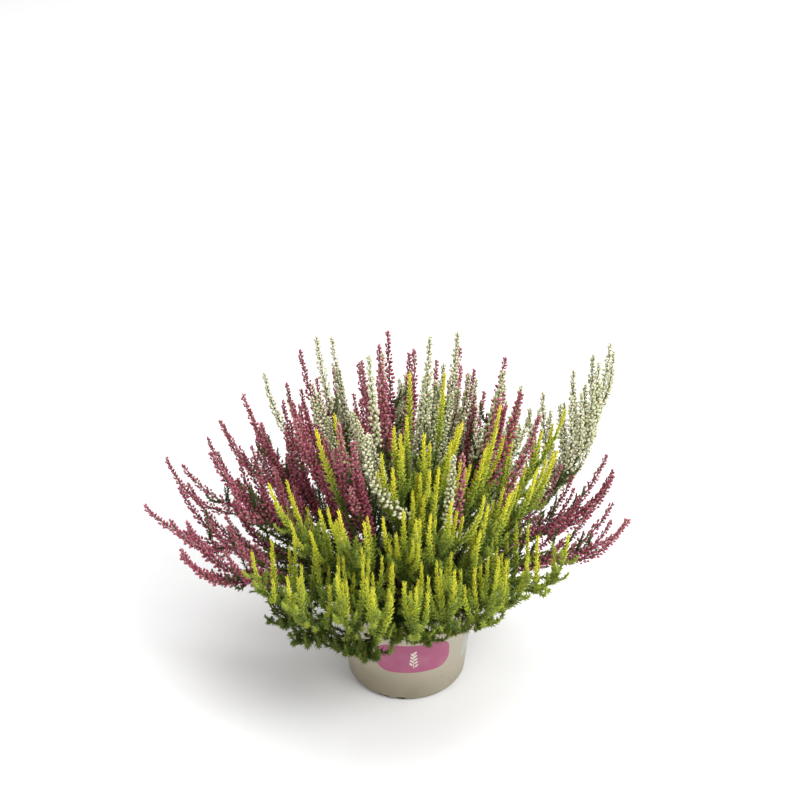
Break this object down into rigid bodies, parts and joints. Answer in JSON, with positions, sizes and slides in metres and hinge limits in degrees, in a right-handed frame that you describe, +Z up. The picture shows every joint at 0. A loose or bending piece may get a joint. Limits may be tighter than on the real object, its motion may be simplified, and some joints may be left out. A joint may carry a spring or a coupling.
{
  "type": "potted heather",
  "caption": "Bushy potted heather: golden, rose and cream budded spikes fan out from a tapered round nursery pot with a plain lip and foot slots.",
  "frame": {"origin": "centre of the pot's flat underside, on the surface that it stands on", "axes": "+Z up out of the pot; -Y towards the plant's front, where the golden shoots are; +X to the right as seen from the front"},
  "size_m": [0.438, 0.345, 0.3562],
  "materials": {
    "pot": "satin taupe moulded plastic",
    "soil": "dry peat, stands in for soil",
    "golden_shoots": "matte yellow-green scale leaves",
    "green_foliage": "matte green scale leaves",
    "rose_buds": "matte rose buds",
    "cream_buds": "matte cream-white buds"
  },
  "bodies": {
    "root": {"pot": "pot", "soil": "soil", "cream_spray_01": "cream_buds", "rose_spray_01": "rose_buds", "cream_spray_02": "cream_buds", "golden_spray_01": "golden_shoots", "golden_spray_02": "golden_shoots", "rose_spray_02": "rose_buds", "cream_spray_03": "cream_buds", "rose_spray_03": "rose_buds", "cream_spray_04": "cream_buds", "rose_spray_04": "rose_buds", "rose_spray_05": "rose_buds", "golden_spray_03": "golden_shoots", "golden_spray_04": "golden_shoots", "golden_spray_05": "golden_shoots", "golden_spray_06": "golden_shoots", "cream_spray_05": "cream_buds", "rose_spray_06": "rose_buds", "cream_spray_06": "cream_buds", "rose_spray_07": "rose_buds", "rose_spray_08": "rose_buds", "rose_spray_09": "rose_buds", "golden_spray_07": "golden_shoots", "golden_spray_08": "golden_shoots", "golden_spray_09": "golden_shoots", "golden_spray_10": "golden_shoots", "golden_spray_11": "golden_shoots", "golden_spray_12": "golden_shoots", "rose_spray_10": "rose_buds", "rose_spray_11": "rose_buds", "cream_spray_07": "cream_buds", "cream_spray_08": "cream_buds", "rose_spray_12": "rose_buds", "cream_spray_09": "cream_buds", "rose_spray_13": "rose_buds", "cream_spray_10": "cream_buds", "rose_spray_14": "rose_buds", "rose_spray_15": "rose_buds", "rose_spray_16": "rose_buds", "rose_spray_17": "rose_buds", "cream_spray_11": "cream_buds", "golden_spray_13": "golden_shoots", "golden_spray_14": "golden_shoots", "golden_spray_15": "golden_shoots", "golden_spray_16": "golden_shoots", "golden_spray_17": "golden_shoots", "golden_spray_18": "golden_shoots", "golden_spray_19": "golden_shoots", "golden_spray_20": "golden_shoots", "golden_spray_21": "golden_shoots", "green_spray_01": "green_foliage", "green_spray_02": "green_foliage", "green_spray_03": "green_foliage", "green_spray_04": "green_foliage", "green_spray_05": "green_foliage", "green_spray_06": "green_foliage", "green_spray_07": "green_foliage", "green_spray_08": "green_foliage", "green_spray_09": "green_foliage"}
  },
  "joints": []
}
